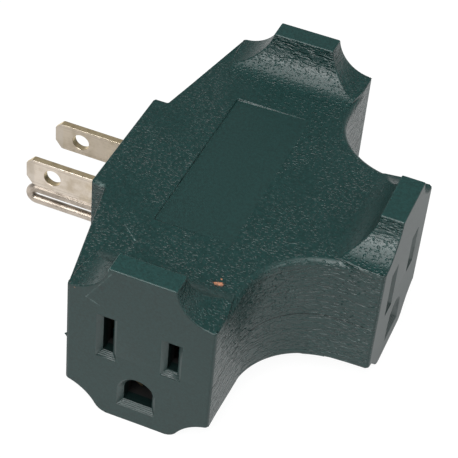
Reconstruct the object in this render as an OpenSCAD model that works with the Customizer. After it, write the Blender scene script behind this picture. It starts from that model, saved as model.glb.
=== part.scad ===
/* [Moulded body] */
// Distance from the middle of the adapter to the face of each side outlet
arm_reach = 41.7; // [40:0.1:50]
// Distance from the plug face to the centre line of the side arms
side_y = 22.9; // [22:0.1:28]
// Distance from the plug face to the face of the front outlet
front_y = 58.9; // [57:0.1:70]
// Width of each arm and of each outlet face
arm_w = 28.7; // [28:0.1:34]
// Height of the top face above the blade centre line
slab_top = 9.7; // [9.4:0.1:12]
// Depth of the underside below the blade centre line
slab_bottom = 14.7; // [13.5:0.1:16]
// Radius of the concave walls between the front arm and the side arms
wall_r = 14.6; // [10:0.1:16]
// Radius of the rounded rim along the concave walls
rim_r = 1.3; // [0.5:0.1:2.5]
// Width of the plug boss
boss_w = 29; // [27:0.1:34]
// Length of the straight side step of the plug boss
boss_step = 3; // [1:0.1:6]
// Thickness of the moulding below the ground tray, which sets how deep the underside rib is
keel_cover = 1.6; // [1:0.1:2.6]
// Flat width of the underside rib
keel_w = 12.6; // [12.2:0.1:16]
// Distance that each sloped side of the rib spreads
keel_slope = 2.4; // [0.5:0.1:4]

/* [Outlet flanges] */
// Height of the upper lip's edge above the blade centre line
lip_top = 17; // [14:0.1:20]
// Depth of the lower lip's edge below the blade centre line
lip_bottom = 19.8; // [19.4:0.1:22]
// Thickness of the lips, front to back
lip_t = 4.7; // [3:0.1:7]
// Radius of the concave upper corners of an outlet face
cove_r = 8; // [6:0.1:9]
// Depth of the concave upper corners below the lip's edge
cove_depth = 6.8; // [5:0.1:7.2]
// Radius of the concave lower corners of an outlet face
low_cove_r = 9.2; // [8:0.1:10]
// Distance from the side of the arm out to the centre of a concave lower corner
low_cove_out = 1.9; // [0:0.1:3]
// Depth below the blade centre line at which an outlet face's side ends
low_corner = 14; // [13.2:0.1:14.4]
// Radius of the rounded ends of the lower lip
lip_end_r = 3; // [1:0.1:3.4]
// Thickness of the outlet face over the inner carrier
face_t = 3; // [2:0.1:5]

/* [Label panel] */
// Length of the smooth sunken panel on the top
label_l = 41; // [20:0.5:50]
// Width of the smooth sunken panel
label_w = 15.8; // [8:0.2:20]
// Depth of the panel at its rear edge, where it is deepest
label_depth = 0.4; // [0.2:0.1:1]
// Distance from the middle of the adapter to the middle of the panel
label_shift = 1.9; // [0:0.1:4]

/* [Plug] */
// Distance between the two blades, and between the two slots of an outlet
blade_pitch = 12.7; // [12.6:0.1:12.8]
// Width of a blade
blade_w = 6.2; // [6.1:0.05:6.5]
// Thickness of a blade
blade_t = 1.44; // [1.4:0.02:1.65]
// Length of a blade outside the plug face
blade_l = 17.8; // [15.9:0.1:18.2]
// Width of the wide blade that a neutral slot takes
wide_blade_w = 7.9; // [7.7:0.05:8.1]
// Radius of the hole near a blade's tip
hole_r = 1.8; // [1.5:0.01:2.2]
// Distance from the plug face to the middle of a blade's hole
hole_y = 11.9; // [11.1:0.1:12.2]
// Size of the cut corners at a blade's tip
tip_corner = 1.5; // [0.8:0.1:2]
// Length of the coined bevel at a blade's tip
tip_bevel = 1.8; // [1:0.1:2.5]
// Distance from the blade centre line down to the ground pin
ground_drop = 12; // [11.8:0.05:12.1]
// Length of the ground pin outside the plug face
ground_l = 21.3; // [20:0.1:22]
// Thickness of the rod that the ground pin is bent from
rod_d = 1.9; // [1.5:0.05:2]
// Overall width of the bent ground pin
ground_d = 4.86; // [4.6:0.02:4.9]

/* [Outlet openings] */
// Play of a blade in its slot, in thickness and in width
slot_play = 0.6; // [0.3:0.05:0.8]
// Size of the sloped lead-in round each opening
lead_in = 1; // [0.4:0.1:1.4]
// Play round a ground pin in its opening
socket_play = 0.4; // [0.2:0.05:0.6]
// Play between a ground pin and the flat side of its opening
flat_play = 0.7; // [0.3:0.05:0.8]

/* [Inner carrier] */
// Clearance between the edge of a strip and the wall beside it
strip_room = 0.6; // [0.3:0.05:1]
// Clearance between a rivet's head and the blade that passes it
rivet_room = 0.3; // [0.2:0.05:0.6]
// Wall thickness of the carrier
carrier_wall = 1.2; // [0.8:0.1:1.4]
// Thickness of the deck between the neutral strip and the ground strip
deck_t = 1; // [0.8:0.1:1.4]
// Wall thickness of the ground tray
tray_wall = 1; // [0.7:0.1:1]
// Floor thickness of the ground tray
tray_floor = 0.8; // [0.6:0.1:1]
// Thickness of the moulding between the plug face and the blade bridge
skin_t = 1.6; // [1:0.1:2.5]
// Thickness of the blade bridge
bridge_t = 3.6; // [2.5:0.1:4]
// Thickness of the barrier between the line and neutral contacts
barrier_t = 1.2; // [0.8:0.1:2]
// Length of the barrier
barrier_l = 12; // [8:0.5:14]

/* [Brass strips and contacts] */
// Thickness of the strips that join the contacts
strip_t = 0.8; // [0.6:0.1:0.9]
// Width of the line and neutral strips
strip_w = 4.6; // [4:0.1:5]
// Width of the ground strip
ground_strip_w = 6.4; // [5:0.1:6.6]
// Thickness of a contact's sheet
sheet_t = 0.6; // [0.4:0.05:0.7]
// Length of a contact
contact_l = 9.5; // [8:0.1:11]
// Gap between a blade contact's two leaves where they pinch
pinch = 1.1; // [0.6:0.1:1.4]
// Gap between the two leaves at their flared mouth
mouth = 3.2; // [2.4:0.1:3.6]
// Gap between the carrier's end wall and the mouth of a contact
mouth_gap = 0.7; // [0.5:0.1:1.5]
// Length of a contact's leaves in front of its web
free_l = 4.5; // [3:0.1:5]
// Length of the flare at a contact's mouth
flare_l = 2; // [1:0.1:2.6]
// Length of the tab that joins a strip to its blade
tab_l = 5.6; // [4:0.1:5.8]
// Length of a ground contact's foot behind its grip
foot_l = 4; // [3.2:0.1:5]
// Squeeze of a ground contact on its pin's radius
grip_squeeze = 0.13; // [0.05:0.01:0.25]
// Length of a ground contact's grip
grip_l = 6; // [4:0.1:6.5]
// Shank radius of the rivets
rivet_r = 0.9; // [0.6:0.05:1]
// Head radius of the rivets
rivet_head_r = 1.4; // [1.2:0.05:1.5]
// Head thickness of the rivets
rivet_head_t = 0.45; // [0.3:0.05:0.5]

/* [Hidden] */

$fn = 64;
// Clearance round a part that passes through a hole
fit = 0.05;
// Overlap that keeps cuts and joined shapes from sharing a face
over = 1;
green = [0.16, 0.27, 0.25];
brass = [0.78, 0.63, 0.33];
nickel = [0.75, 0.71, 0.64];
black = [0.15, 0.15, 0.15];

blade_x = blade_pitch / 2;
slab_h = slab_top + slab_bottom;
line_slot_h = blade_w + slot_play;
neutral_slot_h = wide_blade_w + slot_play;
slot_w = blade_t + slot_play;
socket_r = ground_d / 2 + socket_play;
socket_flat = ground_d / 2 + flat_play;
ground_grip_r = ground_d / 2 - grip_squeeze;
carrier_w = 2 * (blade_x + strip_w / 2 + strip_room + carrier_wall);
tray_w = ground_strip_w + 2 * (strip_room + tray_wall);
rod_r = rod_d / 2;
leg_z = ground_d / 2 - rod_r;

// Levels of the inner parts, counted from the blade centre line
line_strip_z = line_slot_h / 2 + rivet_room + rivet_head_t + sheet_t;
carrier_top = line_strip_z + strip_t + carrier_wall;
deck_top = -neutral_slot_h / 2 - rivet_room - rivet_head_t - sheet_t - strip_t;
deck_bottom = deck_top - deck_t;
neutral_web_z = deck_top + strip_t;
ground_strip_z = deck_bottom - strip_t;
foot_z = ground_strip_z - sheet_t;
tray_inside = -ground_drop - socket_flat;
tray_bottom = tray_inside - tray_floor;
keel_bottom = -tray_bottom + keel_cover;

// Places of the inner parts, counted from the plug face
bridge_back = skin_t + bridge_t;
carrier_end = face_t + carrier_wall;
contact_mouth = carrier_end + mouth_gap;
tab_y = bridge_back + carrier_wall + strip_room;
joint_y = tab_y + tab_l / 2;
blade_root = tab_y + tab_l;
ground_tab_y = bridge_back + carrier_wall + rod_r;
web_joint = contact_mouth + (contact_l + free_l) / 2;
foot_joint = contact_mouth + grip_l + foot_l / 2;
tab_x = -blade_x + blade_t / 2;
web_half = rivet_head_r + fit;

// Moves a shape drawn at the front outlet's face to the outlet with this name
module at_outlet(outlet) {
    if (outlet == "front") translate([0, front_y, 0]) children();
    if (outlet == "right") translate([arm_reach, side_y, 0]) rotate([0, 0, -90]) children();
    if (outlet == "left") translate([-arm_reach, side_y, 0]) rotate([0, 0, 90]) children();
}

module both_sides() {
    children();
    mirror([1, 0, 0]) children();
}

// Stands a drawing upright, so that its y becomes height, and thickens it from y = 0 backwards
module upright(depth) {
    rotate([90, 0, 0]) linear_extrude(depth) children();
}

// Turns a side view, drawn as depth and height, into a solid of this width
module sideways(width) {
    translate([-width / 2, 0, 0]) rotate([90, 0, 90]) linear_extrude(width) children();
}

// Plan of the moulded body: a T with a plug boss and two concave walls
module body_plan() {
    half_plan = [[0, 0], [boss_w / 2, 0], [boss_w / 2, boss_step], [arm_reach, side_y - arm_w / 2],
                 [arm_reach, side_y + arm_w / 2], [arm_w / 2, side_y + arm_w / 2],
                 [arm_w / 2, front_y], [0, front_y]];
    both_sides() {
        translate([-over, 0]) square([2 * over, front_y]);
        polygon(half_plan);
        intersection() {
            square([arm_reach, front_y]);
            difference() {
                translate([arm_w / 2 - over, side_y + arm_w / 2 - over]) square(wall_r + over);
                translate([arm_w / 2 + wall_r, side_y + arm_w / 2 + wall_r]) circle(wall_r);
            }
        }
    }
}

// Outline of an outlet face before its lower corners are cut
module face_outline() {
    difference() {
        translate([-arm_w / 2, -lip_bottom]) square([arm_w, lip_top + lip_bottom]);
        for (side = [-1, 1])
            translate([side * arm_w / 2, lip_top - cove_depth + cove_r]) circle(cove_r);
    }
}

// Cut at a face's lower corner: a concave arc that runs into the rounded end of the lip
module low_cut_profile() {
    cove = [arm_w / 2 + low_cove_out, -low_corner - sqrt(pow(low_cove_r, 2) - pow(low_cove_out, 2))];
    end_z = lip_end_r - lip_bottom;
    end_x = cove[0] - sqrt(pow(low_cove_r + lip_end_r, 2) - pow(end_z - cove[1], 2));
    translate(cove) circle(low_cove_r);
    difference() {
        polygon([[end_x, end_z], [end_x, -lip_bottom - over], [cove[0], -lip_bottom - over], cove]);
        translate([end_x, end_z]) circle(lip_end_r);
    }
}

// Lower corner cuts of an outlet, tilted so that they leave the slab's underside behind the lip
module low_cuts() {
    depth = lip_t + lip_bottom - slab_bottom;
    tilt = atan((slab_bottom - low_corner) / depth);
    both_sides() translate([0, 0, -low_corner]) rotate([tilt, 0, 0]) translate([0, 2 * over, low_corner])
        upright(depth + 3 * over) low_cut_profile();
}

// Side view of a flange: the lips, and the round ramps from their backs to the slab
module flange_side() {
    rise = lip_top - slab_top;
    drop = lip_bottom - slab_bottom;
    translate([-lip_t, -lip_bottom]) square([lip_t, lip_top + lip_bottom]);
    difference() {
        translate([-lip_t - rise, -slab_bottom]) square([rise + over, slab_bottom + lip_top]);
        translate([-lip_t - rise, lip_top]) circle(rise);
    }
    difference() {
        translate([-lip_t - drop, -lip_bottom]) square([drop + over, lip_bottom]);
        translate([-lip_t - drop, -lip_bottom]) circle(drop);
    }
}

// Flange of an outlet, narrowed behind its lip so that the slab's rounded rim runs out at the face
module flange() {
    depth = lip_t + max(lip_top - slab_top, lip_bottom - slab_bottom);
    half = arm_w / 2;
    intersection() {
        upright(depth) face_outline();
        sideways(2 * arm_w) flange_side();
        linear_extrude(2 * (lip_top + lip_bottom), center = true)
            polygon([[-half, over], [half, over], [half, -lip_t], [half - rim_r, -depth],
                     [rim_r - half, -depth], [-half, -lip_t]]);
    }
}

// Rib on the underside that covers the ground pin's root and the ground tray
module keel(length) {
    half = keel_w / 2;
    upright(length) polygon([[-half, -keel_bottom], [half, -keel_bottom],
                             [half + keel_slope, -slab_bottom], [half + keel_slope, -slab_bottom + over],
                             [-half - keel_slope, -slab_bottom + over], [-half - keel_slope, -slab_bottom]]);
}

// Square corner less a quarter of a circle, which a rim is rounded with
module rim_profile() {
    difference() {
        square(rim_r + over);
        circle(rim_r);
    }
}

// Cuts the rounded rim along one concave wall and the straight walls that it runs into
module rim_cut() {
    turn = arm_w / 2 + wall_r;
    translate([turn, side_y + turn, slab_top - rim_r]) rotate_extrude() difference() {
        translate([wall_r - over, 0]) square(rim_r + over);
        translate([wall_r + rim_r, 0]) circle(rim_r);
    }
    translate([arm_w / 2 - rim_r, front_y + over, slab_top - rim_r])
        upright(front_y + over - side_y - turn) rim_profile();
    translate([turn, side_y + arm_w / 2 - rim_r, slab_top - rim_r])
        rotate([90, 0, 90]) linear_extrude(arm_reach + over - turn) rim_profile();
}

// Smooth sunken panel: its floor tilts, so that it fades out towards the front
module label_cut() {
    translate([-label_shift - label_l / 2, side_y - label_w / 2, slab_top - label_depth])
        rotate([atan(label_depth / label_w), 0, 0]) cube([label_l, 2 * label_w, over + label_depth]);
}

// Blade slot of an outlet: a straight passage, side slopes and a ridged slope at its foot
module slot_cut(x, slot_h) {
    steps = 4;
    step = lead_in / steps;
    half_h = slot_h / 2;
    ridges = [for (i = [0 : steps - 1]) each [[-i * step, -half_h - lead_in + i * step],
                                             [-(i + 1) * step, -half_h - lead_in + i * step]]];
    translate([x, 0, 0]) {
        translate([-slot_w / 2, -contact_mouth, -half_h]) cube([slot_w, contact_mouth + over, slot_h]);
        intersection() {
            linear_extrude(4 * slot_h, center = true)
                polygon([[-slot_w / 2 - lead_in, over], [-slot_w / 2 - lead_in, 0], [-slot_w / 2, -lead_in],
                         [slot_w / 2, -lead_in], [slot_w / 2 + lead_in, 0], [slot_w / 2 + lead_in, over]]);
            sideways(4 * slot_w)
                polygon(concat([[over, -half_h - lead_in]], ridges,
                               [[-lead_in, half_h], [0, half_h + lead_in], [over, half_h + lead_in]]));
        }
    }
}

// Outline of a ground opening, round above the pin's centre and flat below it
module socket_outline() {
    circle(socket_r);
    translate([-socket_r, -socket_flat]) square([2 * socket_r, socket_flat]);
}

// Ground opening: a straight passage with a sloped lead-in
module ground_cut() {
    wide = socket_r + lead_in;
    translate([0, 0, -ground_drop]) {
        translate([0, over, 0]) upright(contact_mouth + over) socket_outline();
        translate([0, -lead_in, 0]) rotate([-90, 0, 0]) {
            cylinder(lead_in, socket_r, wide);
            translate([0, 0, lead_in]) cylinder(over, r = wide);
        }
        intersection() {
            translate([0, 0, -2 * wide]) linear_extrude(2 * wide)
                polygon([[-wide, over], [-wide, 0], [-socket_r, -lead_in],
                         [socket_r, -lead_in], [wide, 0], [wide, over]]);
            sideways(4 * wide)
                polygon([[over, -socket_flat - lead_in], [0, -socket_flat - lead_in],
                         [-lead_in, -socket_flat], [-lead_in, 0], [over, 0]]);
        }
    }
}

module outlet_openings() {
    for (outlet = ["left", "right", "front"]) at_outlet(outlet) {
        slot_cut(-blade_x, line_slot_h);
        slot_cut(blade_x, neutral_slot_h);
        ground_cut();
    }
}

// Windows that the blades and the ground pin's two legs pass through at the plug
module plug_openings() {
    for (side = [-1, 1])
        translate([side * blade_x - blade_t / 2 - fit, -over, -blade_w / 2 - fit])
            cube([blade_t + 2 * fit, bridge_back + carrier_wall + 2 * over, blade_w + 2 * fit]);
    for (side = [-1, 1])
        translate([0, -over, -ground_drop + side * leg_z])
            rotate([-90, 0, 0]) cylinder(bridge_back + carrier_wall + 2 * over, r = rod_r + fit);
}

// Plan of the carrier, between the blade bridge and the outlet faces
module carrier_plan(width, inset) {
    half = width / 2 - inset;
    start = bridge_back + inset;
    translate([-half, start]) square([2 * half, front_y - face_t - inset - start]);
    reach = arm_reach - face_t - inset;
    translate([-reach, side_y - half]) square([2 * reach, 2 * half]);
}

// Block that holds the blades and the ground pin: wide above the deck's level, narrow below it
module bridge_block() {
    translate([-carrier_w / 2, skin_t, deck_bottom]) cube([carrier_w, bridge_t, line_strip_z - deck_bottom]);
    translate([-tray_w / 2, skin_t, tray_bottom]) cube([tray_w, bridge_t, deck_bottom - tray_bottom + over]);
}

// Block of space that the rigid inner parts fill
module core() {
    translate([0, 0, deck_bottom]) linear_extrude(carrier_top - deck_bottom) carrier_plan(carrier_w, 0);
    translate([0, 0, tray_bottom]) linear_extrude(deck_bottom - tray_bottom + over / 2) carrier_plan(tray_w, 0);
    bridge_block();
}

module outer_jacket() color(green) difference() {
    union() {
        difference() {
            translate([0, 0, -slab_bottom]) linear_extrude(slab_h) body_plan();
            both_sides() rim_cut();
        }
        for (outlet = ["left", "right", "front"]) at_outlet(outlet) flange();
        at_outlet("front") keel(front_y);
        at_outlet("right") keel(2 * arm_reach);
    }
    for (outlet = ["left", "right", "front"]) at_outlet(outlet) low_cuts();
    label_cut();
    core();
    outlet_openings();
    plug_openings();
}

module blade_bridge() color(black) difference() {
    bridge_block();
    plug_openings();
}

// Barrier between the line and the neutral contacts of each outlet
module barriers(low, high) {
    for (outlet = ["left", "right", "front"]) at_outlet(outlet)
        translate([-barrier_t / 2, -carrier_end - barrier_l, low]) cube([barrier_t, barrier_l + over / 2, high - low]);
}

module carrier_cover() color(black) difference() {
    union() {
        linear_extrude(carrier_top) difference() {
            carrier_plan(carrier_w, 0);
            carrier_plan(carrier_w, carrier_wall);
        }
        translate([0, 0, carrier_top - carrier_wall]) linear_extrude(carrier_wall) carrier_plan(carrier_w, 0);
        barriers(0, carrier_top - carrier_wall / 2);
    }
    outlet_openings();
    plug_openings();
}

module carrier_base() color(black) difference() {
    union() {
        translate([0, 0, deck_bottom]) linear_extrude(-deck_bottom) difference() {
            carrier_plan(carrier_w, 0);
            carrier_plan(carrier_w, carrier_wall);
        }
        translate([0, 0, deck_bottom]) linear_extrude(deck_t) carrier_plan(carrier_w, 0);
        barriers(deck_bottom + deck_t / 2, 0);
    }
    outlet_openings();
    plug_openings();
}

module ground_tray() color(black) difference() {
    translate([0, 0, tray_bottom]) linear_extrude(deck_bottom - tray_bottom) carrier_plan(tray_w, 0);
    translate([0, 0, tray_inside]) linear_extrude(deck_bottom - tray_inside + over) carrier_plan(tray_w, tray_wall);
    outlet_openings();
    plug_openings();
}

// One blade: a flat bar with cut corners, a coined tip and a hole
module blade(x) color(nickel) difference() {
    translate([x, 0, 0]) intersection() {
        sideways(2 * blade_t)
            polygon([[-blade_l, -blade_w / 2 + tip_corner], [-blade_l + tip_corner, -blade_w / 2],
                     [blade_root, -blade_w / 2], [blade_root, blade_w / 2],
                     [-blade_l + tip_corner, blade_w / 2], [-blade_l, blade_w / 2 - tip_corner]]);
        linear_extrude(2 * blade_w, center = true)
            polygon([[-blade_t / 4, -blade_l], [-blade_t / 2, -blade_l + tip_bevel], [-blade_t / 2, blade_root],
                     [blade_t / 2, blade_root], [blade_t / 2, -blade_l + tip_bevel], [blade_t / 4, -blade_l]]);
    }
    translate([x - blade_t, -hole_y, 0]) rotate([0, 90, 0]) cylinder(2 * blade_t, r = hole_r);
    translate([x - blade_t, joint_y, 0]) rotate([0, 90, 0]) cylinder(2 * blade_t, r = rivet_r + fit);
}

module line_blade() blade(-blade_x);

module neutral_blade() blade(blade_x);

// Ground pin: a rod bent into a long loop, with its two ends peened over behind the ground strip's tab
module ground_pin() color(nickel) translate([0, 0, -ground_drop]) {
    turn_y = -ground_l + leg_z + rod_r;
    end_y = ground_tab_y + strip_t;
    translate([0, turn_y, 0]) rotate([0, 90, 0]) rotate([0, 0, 180])
        rotate_extrude(angle = 180) translate([leg_z, 0]) circle(rod_r);
    for (side = [-1, 1]) translate([0, 0, side * leg_z]) rotate([-90, 0, 0]) {
        translate([0, 0, turn_y]) cylinder(end_y - turn_y, r = rod_r);
        translate([0, 0, end_y]) cylinder(rod_r / 2, r = rod_r + rod_r / 2);
    }
}

// Rivet through a strip and a contact, drawn from the strip's outer face towards the contact
module contact_rivet(gap) {
    cylinder(strip_t, rivet_head_r + gap, rivet_r + gap);
    cylinder(strip_t + sheet_t, r = rivet_r + gap);
}

// Puts a shape on the outer face of the line strip at each contact
module at_line_joints() {
    for (outlet = ["left", "right", "front"]) at_outlet(outlet)
        translate([-blade_x, -web_joint, line_strip_z + strip_t]) mirror([0, 0, 1]) children();
}

// Puts a shape on the outer face of the neutral strip at each contact
module at_neutral_joints() {
    for (outlet = ["left", "right", "front"]) at_outlet(outlet)
        translate([blade_x, -web_joint, deck_top]) children();
}

// Puts a shape on the outer face of the ground strip at each contact
module at_ground_joints() {
    for (outlet = ["left", "right", "front"]) at_outlet(outlet)
        translate([0, -foot_joint, deck_bottom]) mirror([0, 0, 1]) children();
}

// Plan of the line strip; the neutral strip is its mirror image
module strip_plan() {
    outer = -blade_x - strip_w / 2;
    reach = arm_reach - web_joint + strip_w / 2;
    translate([outer, tab_y]) square([tab_x + strip_t - outer, front_y - web_joint + strip_w / 2 - tab_y]);
    translate([outer, side_y + blade_x - strip_w / 2]) square([reach - outer, strip_w]);
    translate([-reach, side_y - blade_x - strip_w / 2]) square([reach + outer + strip_w / 2, strip_w]);
}

// Tab that a strip turns to its blade
module strip_tab(low, high) {
    translate([tab_x, tab_y, low]) cube([strip_t, tab_l, high - low]);
}

module tab_hole() {
    translate([tab_x - over, joint_y, 0]) rotate([0, 90, 0]) cylinder(strip_t + 2 * over, r = rivet_r + fit);
}

module line_strip() color(brass) difference() {
    union() {
        translate([0, 0, line_strip_z]) linear_extrude(strip_t) strip_plan();
        strip_tab(-blade_w / 2, line_strip_z + strip_t);
    }
    tab_hole();
    at_line_joints() contact_rivet(fit);
}

module neutral_strip() color(brass) difference() {
    mirror([1, 0, 0]) {
        translate([0, 0, deck_top]) linear_extrude(strip_t) strip_plan();
        strip_tab(deck_top, blade_w / 2);
    }
    mirror([1, 0, 0]) tab_hole();
    at_neutral_joints() contact_rivet(fit);
}

module ground_strip() color(brass) difference() {
    half = ground_strip_w / 2;
    reach = arm_reach - contact_mouth - grip_l;
    union() {
        translate([0, 0, ground_strip_z]) linear_extrude(strip_t) {
            translate([-half, ground_tab_y])
                square([2 * half, front_y - contact_mouth - grip_l - ground_tab_y]);
            translate([-reach, side_y - half]) square([2 * reach, 2 * half]);
        }
        translate([-half, ground_tab_y, tray_inside]) cube([2 * half, strip_t, deck_bottom - tray_inside]);
    }
    for (side = [-1, 1])
        translate([0, ground_tab_y - over, -ground_drop + side * leg_z])
            rotate([-90, 0, 0]) cylinder(strip_t + 2 * over, r = rod_r + fit);
    at_ground_joints() contact_rivet(fit);
}

// Leaf of a blade contact seen from above: straight at its root, pinched, and flared at its mouth
function leaf_line(offset) =
    [[mouth / 2 + offset, 0], [pinch / 2 + offset, -flare_l],
     [web_half + offset, -free_l], [web_half + offset, -contact_l]];

function backwards(list) = [for (i = [len(list) - 1 : -1 : 0]) list[i]];

// Blade contact: two leaves that hang from a web; its mouth is at y = 0 and its web's outer face at z = 0
module blade_contact(drop) {
    outer = web_half + sheet_t;
    both_sides() {
        translate([0, 0, -drop - blade_w]) linear_extrude(blade_w)
            polygon(concat(leaf_line(0), backwards(leaf_line(sheet_t))));
        translate([web_half, -contact_l, -drop - blade_w]) cube([sheet_t, contact_l - free_l, drop + blade_w]);
    }
    translate([-outer, -contact_l, -sheet_t]) cube([2 * outer, contact_l - free_l, sheet_t]);
}

module line_contact(outlet) color(brass) difference() {
    at_outlet(outlet) translate([-blade_x, -contact_mouth, line_strip_z])
        blade_contact(line_strip_z - blade_w / 2);
    at_line_joints() contact_rivet(fit);
}

module neutral_contact(outlet) color(brass) difference() {
    at_outlet(outlet) translate([blade_x, -contact_mouth, neutral_web_z]) mirror([0, 0, 1])
        blade_contact(-neutral_web_z - blade_w / 2);
    at_neutral_joints() contact_rivet(fit);
}

// Ground contact: a split sleeve with a flared mouth under a foot
module ground_contact(outlet) color(brass) difference() {
    grip_out = ground_grip_r + sheet_t;
    foot_w = 2 * ground_grip_r;
    flare = sheet_t / 2;
    flare_depth = 1.5 * sheet_t;
    slit = 2 * ground_grip_r / 3;
    at_outlet(outlet) translate([0, -contact_mouth, 0]) {
        translate([-foot_w / 2, -grip_l - foot_l, foot_z]) cube([foot_w, grip_l + foot_l, sheet_t]);
        difference() {
            union() {
                translate([0, 0, -ground_drop]) rotate([90, 0, 0]) cylinder(grip_l, r = grip_out);
                translate([-grip_out / 2, -grip_l, -ground_drop])
                    cube([grip_out, grip_l, foot_z + ground_drop + sheet_t / 2]);
            }
            translate([0, over, -ground_drop]) rotate([90, 0, 0]) {
                cylinder(grip_l + 2 * over, r = ground_grip_r);
                translate([0, 0, over]) cylinder(flare_depth, ground_grip_r + flare, ground_grip_r);
            }
            translate([-slit / 2, -grip_l - over, -ground_drop - 2 * grip_out])
                cube([slit, grip_l + 2 * over, 2 * grip_out]);
        }
    }
    at_ground_joints() contact_rivet(fit);
}

module line_contact_left() line_contact("left");
module line_contact_right() line_contact("right");
module line_contact_front() line_contact("front");
module neutral_contact_left() neutral_contact("left");
module neutral_contact_right() neutral_contact("right");
module neutral_contact_front() neutral_contact("front");
module ground_contact_left() ground_contact("left");
module ground_contact_right() ground_contact("right");
module ground_contact_front() ground_contact("front");

// Rivet that joins a blade to its strip's tab
module blade_rivet() {
    outer = -blade_x - blade_t / 2;
    inner = tab_x + strip_t;
    translate([0, joint_y, 0]) rotate([0, 90, 0]) {
        translate([0, 0, outer]) cylinder(inner - outer, r = rivet_r);
        translate([0, 0, outer - rivet_head_t]) cylinder(rivet_head_t, r = rivet_head_r);
        translate([0, 0, inner]) cylinder(rivet_head_t, r = rivet_head_r);
    }
}

// Whole contact rivet: the flush end in the strip, and a head on the contact
module headed_rivet() {
    contact_rivet(0);
    translate([0, 0, strip_t + sheet_t]) cylinder(rivet_head_t, r = rivet_head_r);
}

module line_rivets() color(nickel) {
    blade_rivet();
    at_line_joints() headed_rivet();
}

module neutral_rivets() color(nickel) {
    mirror([1, 0, 0]) blade_rivet();
    at_neutral_joints() headed_rivet();
}

module ground_rivets() color(nickel) at_ground_joints() headed_rivet();

outer_jacket();
blade_bridge();
carrier_cover();
carrier_base();
ground_tray();
line_blade();
neutral_blade();
ground_pin();
line_strip();
neutral_strip();
ground_strip();
line_contact_left();
line_contact_right();
line_contact_front();
neutral_contact_left();
neutral_contact_right();
neutral_contact_front();
ground_contact_left();
ground_contact_right();
ground_contact_front();
line_rivets();
neutral_rivets();
ground_rivets();
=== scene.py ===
"""Looks of the three-outlet plug adapter: soft grained jacket, plated blades, looped ground pin."""

import math

import bmesh
import bpy
import numpy as np
from mathutils import Matrix, Vector
from mathutils.bvhtree import BVHTree


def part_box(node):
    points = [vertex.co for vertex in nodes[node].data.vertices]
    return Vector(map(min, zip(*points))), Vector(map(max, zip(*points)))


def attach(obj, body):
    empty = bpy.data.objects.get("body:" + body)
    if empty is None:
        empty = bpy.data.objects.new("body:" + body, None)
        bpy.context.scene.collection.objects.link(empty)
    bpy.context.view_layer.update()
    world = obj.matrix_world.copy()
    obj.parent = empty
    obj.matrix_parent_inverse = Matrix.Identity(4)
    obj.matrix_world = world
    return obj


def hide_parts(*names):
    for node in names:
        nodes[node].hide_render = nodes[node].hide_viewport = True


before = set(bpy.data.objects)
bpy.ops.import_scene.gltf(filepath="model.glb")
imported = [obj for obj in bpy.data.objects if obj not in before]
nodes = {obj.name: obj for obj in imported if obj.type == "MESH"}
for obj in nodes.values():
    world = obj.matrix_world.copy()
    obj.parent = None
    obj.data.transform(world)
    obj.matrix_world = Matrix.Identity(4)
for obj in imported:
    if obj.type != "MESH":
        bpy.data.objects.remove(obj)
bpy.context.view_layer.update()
scene = bpy.context.scene
MM = 0.001

# Main sizes of the part, in millimetres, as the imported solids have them
ARM_REACH = 41.7
SIDE_Y = 22.9
FRONT_Y = 58.9
HALF_ARM = 14.35
SLAB_TOP = 9.7
LIP_TOP = 17.0
LIP_BOTTOM = -19.8
BOSS_X = 14.5
SLOT_X = 6.35
PARTING_Z = -3.8
GROUND_DROP = 12.0
FLARE_DEPTH = 1.2

# Where the rims run out into the flanges; within this distance the jacket's edges stay as they are
RIM_ENDS = ((29.7, 37.25), (14.35, 46.9), (29.7, 6.1), (31.2, 37.25), (14.35, 48.4))
RIM_CLEAR = 1.4


# Camera, at the photograph's viewing angle
def add_camera():
    right = Vector((-0.3817, 0.9211, 0.0765)).normalized()
    forward = Vector((-0.7062, -0.2373, -0.6671)).normalized()
    up = right.cross(forward).normalized()
    right = forward.cross(up).normalized()
    data = bpy.data.cameras.new("camera")
    data.lens = 129.66
    data.sensor_width = 36
    data.clip_start = 0.01
    camera = bpy.data.objects.new("camera", data)
    turn = Matrix((right, up, -forward)).transposed().to_4x4()
    camera.matrix_world = Matrix.Translation((0.2298, 0.10068, 0.21271)) @ turn
    scene.collection.objects.link(camera)
    scene.camera = camera


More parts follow.
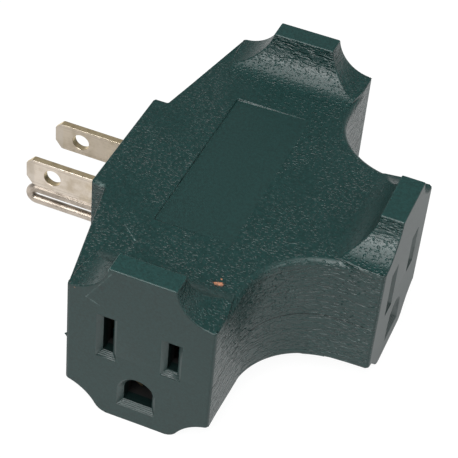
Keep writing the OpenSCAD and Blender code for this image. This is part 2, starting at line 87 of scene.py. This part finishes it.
class Graph:
    """Short ways to add and join shader nodes."""

    def __init__(self, tree):
        self.tree = tree

    def add(self, kind, **inputs):
        node = self.tree.nodes.new(kind)
        for name, value in inputs.items():
            self.put(node.inputs[name.replace("_", " ")], value)
        return node

    def put(self, socket, value):
        if isinstance(value, bpy.types.Node):
            value = value.outputs[0]
        if isinstance(value, bpy.types.NodeSocket):
            self.tree.links.new(value, socket)
        else:
            socket.default_value = value

    def math(self, operation, a, b=0.0, c=0.0, clamp=False):
        node = self.tree.nodes.new("ShaderNodeMath")
        node.operation = operation
        node.use_clamp = clamp
        for socket, value in zip(node.inputs, (a, b, c)):
            self.put(socket, value)
        return node.outputs[0]

    def vector(self, operation, a, b):
        node = self.tree.nodes.new("ShaderNodeVectorMath")
        node.operation = operation
        self.put(node.inputs[0], a)
        self.put(node.inputs["Scale"] if operation == "SCALE" else node.inputs[1], b)
        return node.outputs["Value"] if operation in ("DOT_PRODUCT", "DISTANCE") else node.outputs["Vector"]

    def ramp(self, factor, stops):
        node = self.tree.nodes.new("ShaderNodeValToRGB")
        self.put(node.inputs["Fac"], factor)
        elements = node.color_ramp.elements
        while len(elements) < len(stops):
            elements.new(0.5)
        for element, (place, value) in zip(elements, stops):
            element.position = place
            element.color = (value, value, value, 1)
        return node.outputs["Color"]

    def mix(self, factor, a, b):
        node = self.tree.nodes.new("ShaderNodeMix")
        node.data_type = "RGBA"
        self.put(node.inputs[0], factor)
        self.put(node.inputs[6], a)
        self.put(node.inputs[7], b)
        return node.outputs[2]

    def mix_shader(self, factor, a, b):
        node = self.tree.nodes.new("ShaderNodeMixShader")
        self.put(node.inputs[0], factor)
        self.put(node.inputs[1], a)
        self.put(node.inputs[2], b)
        return node

    def place(self, *stretch):
        """Object coordinates, stretched along each axis if asked."""
        place = self.add("ShaderNodeTexCoord").outputs["Object"]
        return self.add("ShaderNodeMapping", Vector=place, Scale=stretch) if stretch else place

    def noise(self, vector, scale, detail=2.0, roughness=0.5):
        return self.add("ShaderNodeTexNoise", Vector=vector, Scale=scale, Detail=detail,
                        Roughness=roughness).outputs["Fac"]

    def bump(self, height, strength=1.0):
        """Normal of a surface whose height is given in millimetres."""
        return self.add("ShaderNodeBump", Height=height, Distance=MM, Strength=strength).outputs["Normal"]

    def step(self, value, low, high):
        """0 below low, 1 above high, smooth between."""
        node = self.tree.nodes.new("ShaderNodeMapRange")
        node.interpolation_type = "SMOOTHSTEP"
        for name, v in (("Value", value), ("From Min", low), ("From Max", high)):
            self.put(node.inputs[name], v)
        return node.outputs["Result"]

    def split(self, vector, axis):
        """The X, Y or Z part of a vector."""
        return self.add("ShaderNodeSeparateXYZ", Vector=vector).outputs[axis]

    def normal_z(self):
        """1 on faces that look up, 0 on walls and -1 on faces that look down."""
        return self.split(self.add("ShaderNodeNewGeometry").outputs["Normal"], "Z")

    def near_line(self, place, start, end):
        """Distance, in metres, from the straight line between two points given in millimetres."""
        start, end = Vector(start) * MM, Vector(end) * MM
        along = end - start
        offset = self.vector("SUBTRACT", place, start)
        reach = self.vector("DOT_PRODUCT", offset, along)
        share = self.math("DIVIDE", reach, along.length_squared, clamp=True)
        line = self.add("ShaderNodeCombineXYZ", X=along.x, Y=along.y, Z=along.z)
        return self.vector("DISTANCE", offset, self.vector("SCALE", line.outputs[0], share))


# Light: a white studio, bright at floor level and dimmer overhead
def add_world():
    world = bpy.data.worlds.new("studio")
    scene.world = world
    world.use_nodes = True
    tree = world.node_tree
    tree.nodes.clear()
    g = Graph(tree)
    height = g.split(g.add("ShaderNodeTexCoord").outputs["Generated"], "Z")
    ramp = g.ramp(height, [(0.0, 0.80), (0.25, 0.42), (0.5, 0.17), (1.0, 0.20)])
    light = g.add("ShaderNodeBackground", Color=ramp, Strength=1.0)
    white = g.add("ShaderNodeBackground", Color=(1, 1, 1, 1), Strength=1.0)
    path = g.add("ShaderNodeLightPath")
    mix = g.mix_shader(path.outputs["Is Camera Ray"], light, white)
    g.add("ShaderNodeOutputWorld", Surface=mix)


def add_softbox(name, place, target, size, power):
    data = bpy.data.lights.new(name, "AREA")
    data.shape = "RECTANGLE"
    data.size, data.size_y = size
    data.energy = power
    lamp = bpy.data.objects.new(name, data)
    lamp.location = place
    aim = Vector(target) - Vector(place)
    lamp.rotation_euler = aim.to_track_quat("-Z", "Y").to_euler()
    scene.collection.objects.link(lamp)


def add_floor():
    mesh = bpy.data.meshes.new("floor")
    half, level = 3.0, LIP_BOTTOM * MM - 0.0001
    corners = [(-half, -half, level), (half, -half, level), (half, half, level), (-half, half, level)]
    mesh.from_pydata(corners, [], [(0, 1, 2, 3)])
    floor = bpy.data.objects.new("floor", mesh)
    scene.collection.objects.link(floor)
    material = bpy.data.materials.new("floor_white")
    material.use_nodes = True
    tree = material.node_tree
    tree.nodes.clear()
    g = Graph(tree)
    diffuse = g.add("ShaderNodeBsdfDiffuse", Color=(0.85, 0.85, 0.85, 1))
    glow = g.add("ShaderNodeEmission", Color=(1, 1, 1, 1), Strength=1.06)
    seen = g.mix_shader(0.88, diffuse, glow)
    shine = g.add("ShaderNodeEmission", Color=(1, 1, 1, 1), Strength=0.92)
    glossy = g.mix_shader(0.35, shine, diffuse)
    path = g.add("ShaderNodeLightPath")
    inner = g.mix_shader(path.outputs["Is Glossy Ray"], diffuse, glossy)
    mix = g.mix_shader(path.outputs["Is Camera Ray"], inner, seen)
    g.add("ShaderNodeOutputMaterial", Surface=mix)
    mesh.materials.append(material)


def new_material(name):
    material = bpy.data.materials.new(name)
    material.use_nodes = True
    return material, Graph(material.node_tree), material.node_tree.nodes["Principled BSDF"]


# Wear marks: start and end of each line in millimetres, half its width, and how strong it is
PALE_MARKS = [
    ((41.7, 17.1, 16.0), (41.7, 15.0, 12.6), 0.09, 0.16),
    ((41.7, 15.0, 12.6), (41.7, 12.4, 8.6), 0.09, 0.22),
    ((41.7, 12.4, 8.6), (41.7, 15.0, 7.6), 0.12, 0.25),
    ((41.7, 16.3, 16.6), (41.2, 16.5, 17.0), 0.20, 0.9),
    ((14.35, 56.6, -3.96), (14.35, 58.8, -3.86), 0.10, 0.9),
    ((14.35, 56.0, -7.3), (14.35, 56.2, -7.3), 0.12, 0.7),
    ((22.5, 10.8, 9.7), (25.4, 14.1, 9.7), 0.07, 0.35),
    ((25.4, 14.1, 9.7), (25.6, 14.3, 9.7), 0.14, 0.7),
    ((13.9, 1.0, 9.4), (14.4, 2.6, 9.4), 0.40, 0.35),
]
COPPER_FLECKS = [
    ((29.3, 31.9, 9.7), (29.1, 32.9, 9.7), 0.38, 1.0),
    ((27.8, 32.3, 9.7), (27.9, 32.4, 9.7), 0.15, 0.9),
    ((41.4, 9.9, 9.8), (41.5, 10.1, 9.8), 0.20, 1.0),
]
DARK_MARKS = [
    ((41.7, 14.9, 12.2), (41.7, 15.3, 11.8), 0.45, 0.5),
    ((29.3, 31.6, 9.7), (29.1, 33.2, 9.7), 0.62, 0.7),
]


def marks(g, place, lines, rough, gaps=0.0):
    """1 on the marks, 0 off them, with ragged edges and, if asked, broken up by gaps."""
    ragged = g.math("MULTIPLY_ADD", g.step(g.noise(place, 3400, 2), 0.30, 0.70), 2 * rough, 1 - rough)
    whole = g.math("MULTIPLY_ADD", g.step(g.noise(place, 1300, 2), 0.44, 0.56), gaps, 1 - gaps)
    total = None
    for start, end, half, strength in lines:
        distance = g.math("MULTIPLY", g.near_line(place, start, end), ragged)
        mark = g.math("SUBTRACT", 1.0, g.step(distance, 0.7 * half * MM, 1.3 * half * MM))
        mark = g.math("MULTIPLY", mark, g.math("MULTIPLY", whole, strength))
        total = mark if total is None else g.math("MAXIMUM", total, mark)
    return total


# Greens of the jacket, from the darkest of its mottling to the lightest
JACKET_GREENS = ((0.0026, 0.0165, 0.0150), (0.0042, 0.0240, 0.0220), (0.0068, 0.0345, 0.0320))
RIDGE_WIDTH = 0.12
RIDGE_HEIGHT = 0.054


def leather_height(g, place, wall, grain):
    """Height of the leather grain, in millimetres: pebbles in patches, and creases on the walls."""
    patch = g.step(g.noise(place, 85, 2), 0.30, 0.62)
    pebble = g.step(g.noise(g.place(1.1, 0.7, 1.0), 2300, 1, 0.4), 0.50, 0.80)
    pebble = g.math("MULTIPLY", pebble, g.math("MULTIPLY_ADD", patch, 0.10 * grain, 0.04 * grain))
    swirl = g.noise(g.place(0.30, 0.30, 1.2), 800, 2, 0.5)
    crease = g.step(g.math("ABSOLUTE", g.math("SUBTRACT", swirl, 0.5)), 0.0, 0.11)
    crease = g.math("MULTIPLY", crease, g.math("MULTIPLY", wall, 0.17 * grain))
    soft = g.math("MULTIPLY_ADD", wall, -0.35, 1.0)
    return g.math("MULTIPLY_ADD", pebble, soft, crease)


def painted_seam_shade(g, place, wall):
    """1 in the parting line on the walls, 0 off it, where the groove's painted shade goes."""
    offset = g.math("ABSOLUTE", g.math("SUBTRACT", g.split(place, "Z"), PARTING_Z * MM))
    return g.math("MULTIPLY", g.math("SUBTRACT", 1.0, g.step(offset, 0.05 * MM, 0.16 * MM)), wall)


def ridge_height(g, place):
    """Height of the fine ridges on the sloping feet of the openings, in millimetres."""
    width = RIDGE_WIDTH * MM
    ridge = g.math("MULTIPLY", g.math("PINGPONG", g.split(place, "Z"), width), RIDGE_HEIGHT / width)
    return g.math("MULTIPLY", ridge, g.step(g.normal_z(), 0.30, 0.55))


def jacket_material(name, grain, roughness, painted_light_scale=1.0, shine=0.5, ridged=False):
    """Soft green plastic: grain is 1 where the leather grain is full and 0 where there is none."""
    material, g, shader = new_material(name)
    shader.inputs["Specular IOR Level"].default_value = shine
    place = g.place()
    # painted_light_scale brightens or darkens the greens of this copy: above 1 it paints light into them,
    # below 1 it paints shade
    dark_green, mid_green, light_green = (
        tuple(painted_light_scale * c for c in colour) + (1,) for colour in JACKET_GREENS)
    base = g.mix(g.noise(place, 55, 3), dark_green, mid_green)
    mottle = g.step(g.noise(place, 1900, 3, 0.75), 0.30, 0.70)
    base = g.mix(mottle, base, light_green)
    height = g.math("MULTIPLY", g.noise(place, 3200, 2), 0.012)
    if grain > 0:
        wall = g.math("SUBTRACT", 1.0, g.step(g.math("ABSOLUTE", g.normal_z()), 0.35, 0.80))
        height = g.math("ADD", height, leather_height(g, place, wall, grain))
        # Walls are mixed towards the darkest green: painted shade on the walls
        base = g.mix(g.math("MULTIPLY", wall, 0.35), base, dark_green)
        # The parting-line groove is painted near black: painted shade in the groove
        base = g.mix(g.math("MULTIPLY", painted_seam_shade(g, place, wall), 0.9), base, (0.001, 0.003, 0.003, 1))
    if ridged:
        height = g.math("ADD", height, ridge_height(g, place))
    height = g.math("MULTIPLY_ADD", marks(g, place, PALE_MARKS + COPPER_FLECKS, 0.6), 0.02, height)
    dark = marks(g, place, DARK_MARKS, 0.5)
    pale = marks(g, place, PALE_MARKS, 0.45, 0.75)
    fleck = marks(g, place, COPPER_FLECKS, 0.4, 0.4)
    base = g.mix(dark, base, (0.003, 0.010, 0.010, 1))
    base = g.mix(pale, base, (0.17, 0.24, 0.23, 1))
    copper = g.mix(g.noise(place, 2600, 2), (0.20, 0.07, 0.03, 1), (0.62, 0.29, 0.17, 1))
    g.put(shader.inputs["Base Color"], g.mix(fleck, base, copper))
    g.put(shader.inputs["Normal"], g.bump(height))
    g.put(shader.inputs["Roughness"], g.math("MULTIPLY_ADD", pale, 0.15, roughness))
    return material


def blade_tint_and_shade(g, place, base):
    """Colour of a blade's plated sides: painted shade on the tip's bevel, yellower root, dark lines of
    painted shade along the coined steps.
    """
    y, z = g.split(place, "Y"), g.split(place, "Z")
    # The tip is darkened as the painted shade of its bevel
    tip_shade = g.math("SUBTRACT", 1.0, g.step(y, -16.0 * MM, -15.7 * MM))
    root = g.math("MULTIPLY", g.step(y, -7.0 * MM, 0.0), g.step(g.noise(place, 450, 2), 0.35, 0.65))
    # Dark lines along the coined steps: painted shade
    side_line = g.math("ABSOLUTE", g.math("SUBTRACT", g.math("ABSOLUTE", z), 2.4 * MM))
    root_line = g.math("ABSOLUTE", g.math("ADD", y, 2.1 * MM))
    nearest = g.math("MINIMUM", side_line, root_line)
    line = g.math("SUBTRACT", 1.0, g.step(nearest, 0.04 * MM, 0.16 * MM))
    base = g.mix(g.math("MULTIPLY", tip_shade, 0.45), base, (0.50, 0.45, 0.39, 1))
    base = g.mix(g.math("MULTIPLY", root, 0.55), base, (0.58, 0.47, 0.27, 1))
    return g.mix(g.math("MULTIPLY", line, 0.35), base, (0.38, 0.33, 0.28, 1))


def metal_material(name, colour, stain, roughness, streak=(1, 1, 1), depth=0.004, tinted_and_shaded=False):
    material, g, shader = new_material(name)
    place = g.place()
    cloud = g.step(g.noise(place, 320, 4, 0.6), 0.40, 0.72)
    lines = g.noise(g.place(*streak), 2500, 3, 0.6)
    base = g.mix(cloud, colour, stain)
    base = g.mix(g.math("MULTIPLY", g.step(lines, 0.52, 0.75), 0.45), base, stain)
    if tinted_and_shaded:
        base = blade_tint_and_shade(g, place, base)
    g.put(shader.inputs["Base Color"], base)
    shader.inputs["Metallic"].default_value = 1.0
    g.put(shader.inputs["Roughness"], g.math("MULTIPLY_ADD", lines, 0.16, roughness - 0.08))
    g.put(shader.inputs["Normal"], g.bump(g.math("MULTIPLY", lines, depth)))
    return material


def plastic_material(name, colour, roughness):
    material, g, shader = new_material(name)
    place = g.place()
    darker = tuple(0.8 * c for c in colour[:3]) + (1,)
    g.put(shader.inputs["Base Color"], g.mix(g.noise(place, 130, 3), colour, darker))
    g.put(shader.inputs["Normal"], g.bump(g.math("MULTIPLY", g.noise(place, 2600, 2), 0.01)))
    shader.inputs["Roughness"].default_value = roughness
    return material


# Meshes
def bevel(bm, edges, width, segments):
    bmesh.ops.bevel(bm, geom=edges, offset=width * MM, segments=segments, profile=0.5, affect="EDGES",
                    clamp_overlap=False, offset_type="OFFSET", miter_outer="ARC")


def sharp_edges(bm, angle, keep=lambda edge: True):
    limit = math.radians(angle)
    return [e for e in bm.edges if e.is_manifold and e.calc_face_angle(0) > limit and keep(e)]


def cad_mesh(node):
    """The mesh of a CAD node, with its flat facets joined."""
    bm = bmesh.new()
    bm.from_mesh(nodes[node].data)
    bmesh.ops.remove_doubles(bm, verts=bm.verts, dist=1e-6)
    bmesh.ops.dissolve_limit(bm, angle_limit=math.radians(0.4), verts=bm.verts, edges=bm.edges)
    return bm


def finished_mesh(bm, name):
    bmesh.ops.recalc_face_normals(bm, faces=bm.faces)
    mesh = bpy.data.meshes.new(name)
    bm.to_mesh(mesh)
    bm.free()
    for face in mesh.polygons:
        face.use_smooth = True
    return mesh


def add_piece(name, mesh, node, materials, angle):
    """Adds a piece whose flat faces stay flat beside the rounded edges."""
    piece = bpy.data.objects.new(name, mesh)
    scene.collection.objects.link(piece)
    for material in materials:
        mesh.materials.append(material)
    mesh.set_sharp_from_angle(angle=math.radians(angle))
    modifier = piece.modifiers.new("weighted", "WEIGHTED_NORMAL")
    modifier.keep_sharp = True
    graph = bpy.context.evaluated_depsgraph_get()
    piece.data = bpy.data.meshes.new_from_object(piece.evaluated_get(graph), depsgraph=graph)
    piece.modifiers.clear()
    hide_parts(node)
    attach(piece, "root")
    return piece


def outlet_depth(x, y, z):
    """How deep a point lies behind an outlet's face, around its openings, or -1 for a point elsewhere."""
    for along, depth in ((y - SIDE_Y, ARM_REACH - abs(x)), (x, FRONT_Y - y)):
        if -0.01 < depth < 6 and abs(along) < 9.4 and -16.3 < z < 5.6:
            return max(depth, 0)
    return -1


def outer_edge(edge):
    """True for an edge on the jacket's outside, away from its openings and its inner cavity."""
    x, y, z = (edge.verts[0].co + edge.verts[1].co) / 2 / MM
    if outlet_depth(x, y, z) >= 0:
        return False
    for rim_x, rim_y in RIM_ENDS:
        if math.hypot(abs(x) - rim_x, y - rim_y) < RIM_CLEAR and (z > 8 or z < -13):
            return False
    in_arms = abs(x) < 39 and abs(y - SIDE_Y) < 10.6
    in_stem = abs(x) < 10.6 and 1.5 < y < 56
    inside = -16 < z < 7 and (in_arms or in_stem)
    at_plug = y < 7 and abs(x) < 9 and -15.5 < z < 5
    return not (inside or at_plug)


def soft_edge(edge):
    """True for the upright corners at the sides of the outlet faces and of the plug boss."""
    x, y, z = (edge.verts[0].co + edge.verts[1].co) / 2 / MM
    x = abs(x)
    side = x > ARM_REACH - 0.05 and abs(abs(y - SIDE_Y) - HALF_ARM) < 0.05
    front = y > FRONT_Y - 0.05 and abs(x - HALF_ARM) < 0.05
    boss = abs(x - BOSS_X) < 0.05 and y < 0.05
    return side or front or boss


def ridge_edge(edge):
    """True for the crest of a ridge at the foot of a slot."""
    x, y, z = (edge.verts[0].co + edge.verts[1].co) / 2 / MM
    run = (edge.verts[0].co - edge.verts[1].co) / MM
    at_side = -0.01 < ARM_REACH - abs(x) < 1.1 and abs(abs(y - SIDE_Y) - SLOT_X) < 1.9 and abs(run.y) > 0.8
    at_front = -0.01 < FRONT_Y - y < 1.1 and abs(abs(x) - SLOT_X) < 1.9 and abs(run.x) > 0.8
    return (at_side or at_front) and -5.3 < z < -3.3 and abs(run.z) < 0.05 and edge.is_convex


def snap_strays(bm, surface):
    """Brings back any vertex that a bevel threw off the CAD surface or out of its box."""
    low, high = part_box("outer_jacket")
    for vert in bm.verts:
        spot, _, _, distance = surface.find_nearest(vert.co)
        if distance > 0.27 * MM:
            vert.co = spot
        vert.co = Vector([min(max(c, a), b) for c, a, b in zip(vert.co, low, high)])


def cut_parting_line(bm):
    """Presses a fine groove into the outer walls where the two halves of the mould met."""
    for level in (PARTING_Z - 0.10, PARTING_Z, PARTING_Z + 0.10):
        bmesh.ops.bisect_plane(bm, geom=bm.verts[:] + bm.edges[:] + bm.faces[:], dist=1e-7,
                               plane_co=(0, 0, level * MM), plane_no=(0, 0, 1))
    bm.normal_update()
    for vert in bm.verts:
        x, y, z = vert.co / MM
        x = abs(x)
        inner = (abs(y - SIDE_Y) < 10.6 and x < ARM_REACH + 1) or x < 10.6
        on_wall = 0.35 < y < FRONT_Y - 0.35 and x < ARM_REACH - 0.35
        if abs(z - PARTING_Z) < 0.01 and on_wall and not inner:
            outward = Vector((vert.normal.x, vert.normal.y, 0)).normalized()
            vert.co -= 0.16 * MM * outward


def add_burr(bm):
    """A nib of flash that stands out of the parting line beside the right outlet."""
    points = [(40.4, 8.6, -3.5), (41.5, 8.8, -3.6), (41.2, 8.8, -3.0), (40.7, 8.6, -2.9),
              (41.1, 7.95, -3.2)]
    verts = [bm.verts.new(Vector(p) * MM) for p in points]
    for a, b, c in ((0, 1, 4), (1, 2, 4), (2, 3, 4), (3, 0, 4)):
        bm.faces.new((verts[a], verts[b], verts[c]))
    bm.faces.new((verts[3], verts[2], verts[1], verts[0]))


def jacket_region(centre, normal):
    """Which of the jacket's materials a face has, as an index into the list in add_jacket."""
    grained, outlet_face, panel, lip, flare, painted_shade_deep = range(6)
    x, y, z = centre / MM
    depth = outlet_depth(x, y, z)
    # Faces deep in the openings take the near-black copy: painted shade
    if depth > FLARE_DEPTH:
        return painted_shade_deep
    if depth > 0.02:
        return flare
    if (z > LIP_TOP - 0.2 and normal.z > 0.5) or (z < LIP_BOTTOM + 0.2 and normal.z < -0.5):
        return lip
    if normal.z > 0.9 and SLAB_TOP - 0.5 < z < SLAB_TOP - 0.02:
        return panel
    at_side = abs(x) > ARM_REACH - FLARE_DEPTH and abs(normal.x) > 0.3
    at_front = y > FRONT_Y - FLARE_DEPTH and normal.y > 0.3
    return outlet_face if at_side or at_front else grained


def add_jacket():
    bm = cad_mesh("outer_jacket")
    surface = BVHTree.FromBMesh(bm)
    bevel(bm, sharp_edges(bm, 20, soft_edge), 0.6, 3)
    bevel(bm, sharp_edges(bm, 25, outer_edge), 0.28, 3)
    bevel(bm, sharp_edges(bm, 60, ridge_edge), 0.09, 2)
    snap_strays(bm, surface)
    cut_parting_line(bm)
    add_burr(bm)
    mesh = finished_mesh(bm, "jacket")
    for face in mesh.polygons:
        face.material_index = jacket_region(face.center, face.normal)
    # Copies of one green plastic; the fourth number paints light and shade into the greens: the lips
    # lighter as painted light, the outlet faces and flares darker as painted shade
    materials = [jacket_material("jacket_grained", 1.0, 0.33, 1.1),
                 jacket_material("jacket_face_painted_shade", 0.0, 0.44, 0.8),
                 jacket_material("jacket_panel", 0.0, 0.44, 1.1),
                 jacket_material("jacket_lip_painted_light", 0.15, 0.40, 1.35),
                 jacket_material("jacket_flare_painted_shade", 0.0, 0.42, 0.8, 0.8, ridged=True),
                 # the deep channels: the greens at 0.3, painted shade
                 jacket_material("jacket_deep_painted_shade", 0.0, 0.50, 0.3, 0.3)]
    return add_piece("jacket", mesh, "outer_jacket", materials, 28)


def add_blade(name, plated, cut):
    bm = cad_mesh(name)
    bevel(bm, sharp_edges(bm, 18), 0.11, 3)
    mesh = finished_mesh(bm, name)
    for face in mesh.polygons:
        face.material_index = 0 if abs(face.normal.x) > 0.2 else 1
    return add_piece(name + "_plate", mesh, name, [plated, cut], 8)


def tube_mesh(name, centres, radius, sides):
    """A round rod along a line of points, closed at both ends."""
    points = [Vector(p) for p in centres]
    verts, faces = [], []
    across = Vector((1, 0, 0))
    for i, point in enumerate(points):
        before, after = points[max(i - 1, 0)], points[min(i + 1, len(points) - 1)]
        along = (after - before).normalized()
        other = along.cross(across).normalized()
        for k in range(sides):
            turn = 2 * math.pi * k / sides
            verts.append(point + radius * (math.cos(turn) * across + math.sin(turn) * other))
    for i in range(len(points) - 1):
        for k in range(sides):
            a, b = i * sides + k, i * sides + (k + 1) % sides
            faces.append((a, b, b + sides, a + sides))
    faces.append(tuple(range(sides))[::-1])
    faces.append(tuple(range((len(points) - 1) * sides, len(points) * sides)))
    mesh = bpy.data.meshes.new(name)
    mesh.from_pydata([tuple(v) for v in verts], [], faces)
    for face in mesh.polygons:
        face.use_smooth = True
    return mesh


def add_ground_pin(plated):
    low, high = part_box("ground_pin")
    radius, leg = 0.95 * MM, 1.48 * MM
    turn_y = low.y + leg + radius
    centre = Vector((0, 0, -GROUND_DROP * MM))
    line = [centre + Vector((0, y, leg)) for y in np.linspace(high.y, turn_y, 40)[:-1]]
    for i in range(33):
        angle = math.pi / 2 + math.pi * i / 32
        line.append(centre + Vector((0, turn_y + leg * math.cos(angle), leg * math.sin(angle))))
    line += [centre + Vector((0, y, -leg)) for y in np.linspace(turn_y, high.y, 40)[1:]]
    mesh = tube_mesh("ground_pin_loop", line, radius, 32)
    return add_piece("ground_pin_loop", mesh, "ground_pin", [plated], 35)


def dress_inner_nodes(materials):
    for name, node in nodes.items():
        if node.hide_render:
            continue
        material = next(materials[key] for key in materials if key in name)
        if not node.data.materials:
            node.data.materials.append(material)
        for slot in node.material_slots:
            slot.material = material


add_camera()
add_world()
add_floor()
add_softbox("overhead", (0.29, 0.04, 0.60), (0, 0.025, 0), (0.50, 0.86), 5.4)
add_softbox("low", (0.42, -0.10, 0.43), (0.03, 0.025, -0.01), (0.20, 0.20), 1.0)
add_softbox("fill", (0.12, 0.50, 0.38), (0, 0.025, 0), (0.30, 0.24), 0.7)

add_jacket()
ALONG_BLADE = (1, 0.05, 1)
ALONG_ROD = (1, 0.02, 1)
plate = metal_material("nickel_plate", (0.70, 0.62, 0.53, 1), (0.52, 0.44, 0.34, 1), 0.34,
                       ALONG_BLADE, tinted_and_shaded=True)
# The far blade's plate: the same plating painted darker and a little yellower, the darkening being painted
# shade
shaded_plate = metal_material("nickel_plate_painted_shade", (0.54, 0.47, 0.38, 1), (0.42, 0.36, 0.27, 1), 0.36,
                            ALONG_BLADE, tinted_and_shaded=True)
cut_edge = metal_material("cut_brass", (0.95, 0.80, 0.52, 1), (0.66, 0.52, 0.32, 1), 0.40, ALONG_BLADE)
rod = metal_material("plated_rod", (0.56, 0.49, 0.42, 1), (0.34, 0.29, 0.24, 1), 0.40,
                     ALONG_ROD, 0.0005)
add_blade("neutral_blade", plate, cut_edge)
add_blade("line_blade", shaded_plate, cut_edge)
add_ground_pin(rod)

# The bridge, carrier and tray are painted black: painted shade inside the openings
black_inner_shade = plastic_material("black_plastic_painted_shade", (0.012, 0.012, 0.012, 1), 0.5)
dress_inner_nodes({
    "rivets": metal_material("rivet_brass", (0.60, 0.47, 0.25, 1), (0.45, 0.33, 0.17, 1), 0.30),
    # The contacts' brass is painted dark: painted shade inside the openings
    "contact": metal_material("contact_brass", (0.24, 0.18, 0.10, 1), (0.15, 0.11, 0.06, 1), 0.40,
                              (1, 1, 0.1)),
    "strip": metal_material("strip_brass", (0.64, 0.47, 0.20, 1), (0.46, 0.33, 0.15, 1), 0.33,
                            (0.1, 1, 1)),
    "bridge": black_inner_shade,
    "carrier": black_inner_shade,
    "tray": black_inner_shade,
})

scene.view_settings.view_transform = "Standard"
